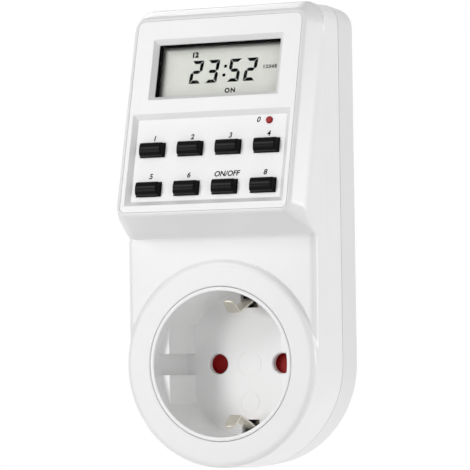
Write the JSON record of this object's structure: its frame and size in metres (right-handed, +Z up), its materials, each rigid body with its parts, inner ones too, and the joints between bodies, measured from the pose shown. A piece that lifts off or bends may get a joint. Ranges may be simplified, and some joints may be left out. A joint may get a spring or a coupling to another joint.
{
  "type": "plug in timer switch",
  "caption": "Digital timer switch in a two-part white casing, with an earthed recessed socket in front, an earthed plug behind and a sloping display and keypad head.",
  "frame": {"origin": "on the plug's axis, in the plane of the casing's back", "axes": "+Z up, +Y into the wall along the plug's pins, +X to the right seen from the front"},
  "size_m": [0.0562, 0.0764, 0.1249],
  "materials": {
    "casing_plastic": "satin moulded",
    "cup_plastic": "satin moulded",
    "key_plastic": "satin moulded",
    "red_plastic": "moulded",
    "window_acrylic": "clear polished",
    "display_glass": "matte polariser",
    "black_foam": "matte",
    "black_resin": "cast",
    "circuit_board": "lacquered",
    "screw_steel": "zinc plated",
    "nickel_brass": "nickel plated",
    "blue_case": "moulded",
    "yellow_case": "moulded",
    "fuse_glass": "clear",
    "grey_sheath": "extruded",
    "brown_sheath": "extruded",
    "blue_sheath": "extruded"
  },
  "bodies": {
    "casing": {"front_casing": "casing_plastic", "rear_casing": "casing_plastic", "casing_screws": "screw_steel", "display_window": "window_acrylic", "display_gasket": "black_foam", "display_glass": "display_glass", "elastomer_connectors": "black_foam", "display_board": "circuit_board", "display_board_screws": "screw_steel", "controller_chip": "black_resin", "backup_battery": "screw_steel", "switch_domes": "screw_steel", "ribbon_cable": "grey_sheath", "power_board": "circuit_board", "power_board_screws": "screw_steel", "relay": "blue_case", "film_capacitor": "yellow_case", "electrolytic_capacitor": "blue_case", "varistor": "blue_case", "fuse": "fuse_glass", "socket_cup": "cup_plastic", "earth_bracket": "nickel_brass", "live_contact": "nickel_brass", "neutral_contact": "nickel_brass", "live_terminal": "nickel_brass", "live_pin": "nickel_brass", "neutral_pin": "nickel_brass", "live_wire": "brown_sheath", "switched_wire": "brown_sheath", "neutral_wire": "blue_sheath"},
    "shutter": {"shutter": "red_plastic", "shutter_spring": "screw_steel"},
    "key_1": {"key_1": "key_plastic"},
    "key_2": {"key_2": "key_plastic"},
    "key_3": {"key_3": "key_plastic"},
    "key_4": {"key_4": "key_plastic"},
    "key_5": {"key_5": "key_plastic"},
    "key_6": {"key_6": "key_plastic"},
    "key_7": {"key_7": "key_plastic"},
    "key_8": {"key_8": "key_plastic"},
    "reset_button": {"reset_button": "red_plastic"}
  },
  "joints": [
    {"name": "shutter_turn", "type": "hinge", "parent": "casing", "child": "shutter", "pos_m": [0, -0.0075, 0], "axis": [0, 1, 0], "range_deg": [0, 40], "stiffness_Nm_per_rad": 0.0005, "springref_deg": -17.19},
    {"name": "key_1_press", "type": "slide", "parent": "casing", "child": "key_1", "axis": [0, 0.969, -0.247], "range_m": [0, 0.0006], "stiffness_N_per_m": 400, "springref_m": -0.0005},
    {"name": "key_2_press", "type": "slide", "parent": "casing", "child": "key_2", "axis": [0, 0.969, -0.247], "range_m": [0, 0.0006], "stiffness_N_per_m": 400, "springref_m": -0.0005},
    {"name": "key_3_press", "type": "slide", "parent": "casing", "child": "key_3", "axis": [0, 0.969, -0.247], "range_m": [0, 0.0006], "stiffness_N_per_m": 400, "springref_m": -0.0005},
    {"name": "key_4_press", "type": "slide", "parent": "casing", "child": "key_4", "axis": [0, 0.969, -0.247], "range_m": [0, 0.0006], "stiffness_N_per_m": 400, "springref_m": -0.0005},
    {"name": "key_5_press", "type": "slide", "parent": "casing", "child": "key_5", "axis": [0, 0.969, -0.247], "range_m": [0, 0.0006], "stiffness_N_per_m": 400, "springref_m": -0.0005},
    {"name": "key_6_press", "type": "slide", "parent": "casing", "child": "key_6", "axis": [0, 0.969, -0.247], "range_m": [0, 0.0006], "stiffness_N_per_m": 400, "springref_m": -0.0005},
    {"name": "key_7_press", "type": "slide", "parent": "casing", "child": "key_7", "axis": [0, 0.969, -0.247], "range_m": [0, 0.0006], "stiffness_N_per_m": 400, "springref_m": -0.0005},
    {"name": "key_8_press", "type": "slide", "parent": "casing", "child": "key_8", "axis": [0, 0.969, -0.247], "range_m": [0, 0.0006], "stiffness_N_per_m": 400, "springref_m": -0.0005},
    {"name": "reset_press", "type": "slide", "parent": "casing", "child": "reset_button", "axis": [0, 0.969, -0.247], "range_m": [0, 0.0006], "stiffness_N_per_m": 400, "springref_m": -0.0005}
  ]
}
